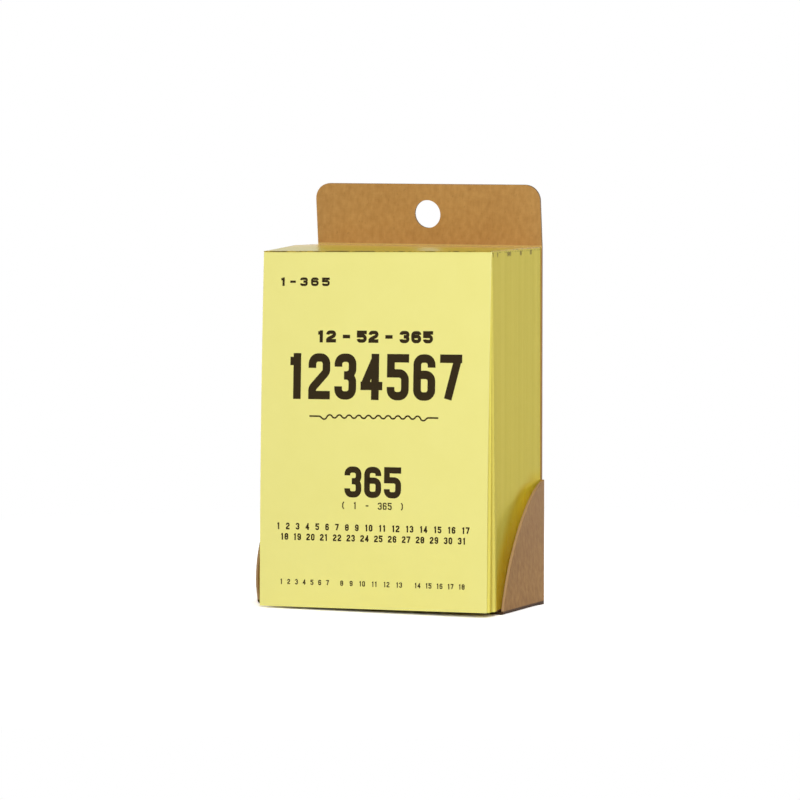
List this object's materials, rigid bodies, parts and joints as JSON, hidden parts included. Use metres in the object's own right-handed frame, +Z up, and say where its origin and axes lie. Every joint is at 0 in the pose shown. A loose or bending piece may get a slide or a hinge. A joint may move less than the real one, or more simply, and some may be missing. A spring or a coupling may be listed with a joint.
{
  "type": "block calendar",
  "caption": "Daily tear-off block calendar: a glued pad of yellow leaves with a cover sheet, in a folded kraft board pocket with a hang hole.",
  "frame": {"origin": "centre of the hang hole, in the front face of the head, on the calendar's middle line; the calendar stands or hangs below it, on z = -0.11045 m", "axes": "+Z up along the back panel, +Y out of the back towards the wall, +X to the right of someone who reads the cover"},
  "size_m": [0.0788, 0.0426, 0.1191],
  "materials": {
    "kraft_board": "smooth solid kraft board, matt, with paler die-cut edges",
    "leaf_paper": "yellow uncoated paper, seen at its cut edges",
    "padding_glue": "thin dried film of pale padding glue, slightly glossy",
    "cover_paper": "thicker pale yellow paper, matt, printed in dark brown"
  },
  "bodies": {
    "stand": {"holder": "kraft_board", "leaf_block": "leaf_paper", "glue_binding": "padding_glue"},
    "cover": {"front_cover": "cover_paper"}
  },
  "joints": [
    {"name": "cover_lift", "type": "hinge", "parent": "stand", "child": "cover", "pos_m": [0.035, -0.03487, -0.00915], "axis": [-0.9998, 0, -0.0193], "range_deg": [0, 150]}
  ]
}
